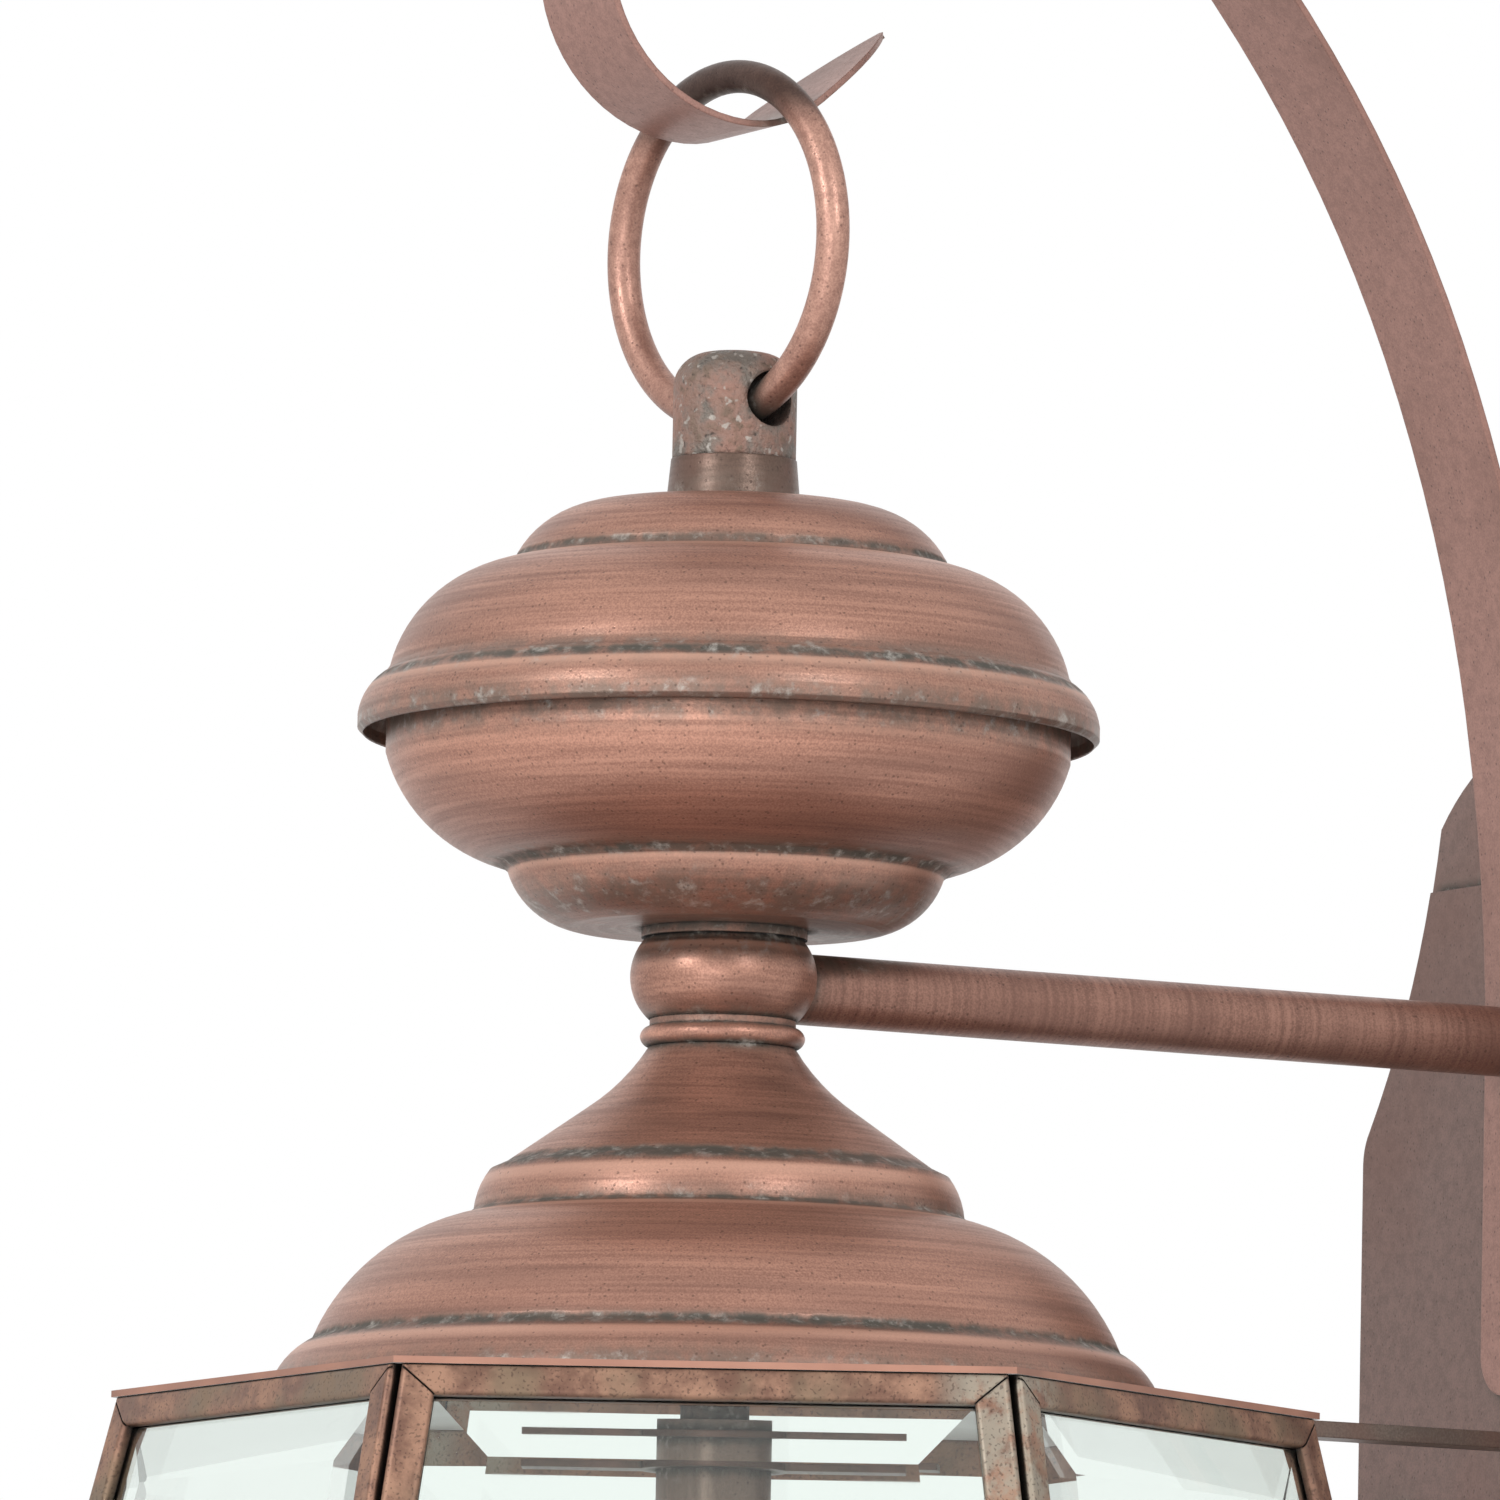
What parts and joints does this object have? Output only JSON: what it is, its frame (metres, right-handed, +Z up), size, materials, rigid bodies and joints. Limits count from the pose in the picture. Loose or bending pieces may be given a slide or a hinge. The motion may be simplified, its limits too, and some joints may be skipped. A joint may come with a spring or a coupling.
{
  "type": "wall lantern",
  "caption": "Wall lantern with a six-sided flared cage of bevelled glass under a spun roof and vent ball, on an arm and a crook strap.",
  "frame": {"origin": "centre of the mounting crossbar's back face, on the wall", "axes": "+Y into the wall, +Z up, the lantern stands out towards -Y"},
  "size_m": [0.303, 0.3232, 0.4932],
  "materials": {
    "aged_copper": "brushed aged copper with dark patina in the grooves",
    "cast_copper": "rough cast copper with pale and dark patina",
    "came_copper": "folded copper came with soldered, patinated corners",
    "top_sheet": "white below, aged copper above",
    "zinc_steel": "zinc plated",
    "bevelled_glass": "clear, bevelled edges"
  },
  "bodies": {
    "lantern": {"backplate": "aged_copper", "crook_strap": "aged_copper", "stay_bar": "aged_copper", "arm_tube": "aged_copper", "finial_collar": "aged_copper", "vent_dome": "aged_copper", "vent_bowl": "aged_copper", "hub": "aged_copper", "hub_washer": "aged_copper", "bead_ring": "aged_copper", "roof": "aged_copper", "bottom_rim": "aged_copper", "cap_nuts": "aged_copper", "socket_stem": "aged_copper", "stem_screw": "aged_copper", "lamp_bar": "aged_copper", "lamp_socket": "aged_copper", "eye_finial": "cast_copper", "panel_frame_1": "came_copper", "panel_frame_2": "came_copper", "panel_frame_3": "came_copper", "panel_frame_4": "came_copper", "panel_frame_5": "came_copper", "panel_frame_6": "came_copper", "top_plate": "top_sheet", "mounting_crossbar": "zinc_steel", "mounting_studs": "zinc_steel", "arm_nipple": "zinc_steel", "arm_locknut": "zinc_steel", "centre_rod": "zinc_steel", "roof_nut": "zinc_steel", "glass_panel_1": "bevelled_glass", "glass_panel_2": "bevelled_glass", "glass_panel_3": "bevelled_glass", "glass_panel_4": "bevelled_glass", "glass_panel_5": "bevelled_glass", "glass_panel_6": "bevelled_glass"},
    "ring": {"suspension_ring": "aged_copper"}
  },
  "joints": [
    {"name": "ring_swing", "type": "hinge", "parent": "lantern", "child": "ring", "pos_m": [0, -0.192, 0.1937], "axis": [0.9877, 0.1564, 0], "range_deg": [-1.5, 9]}
  ]
}
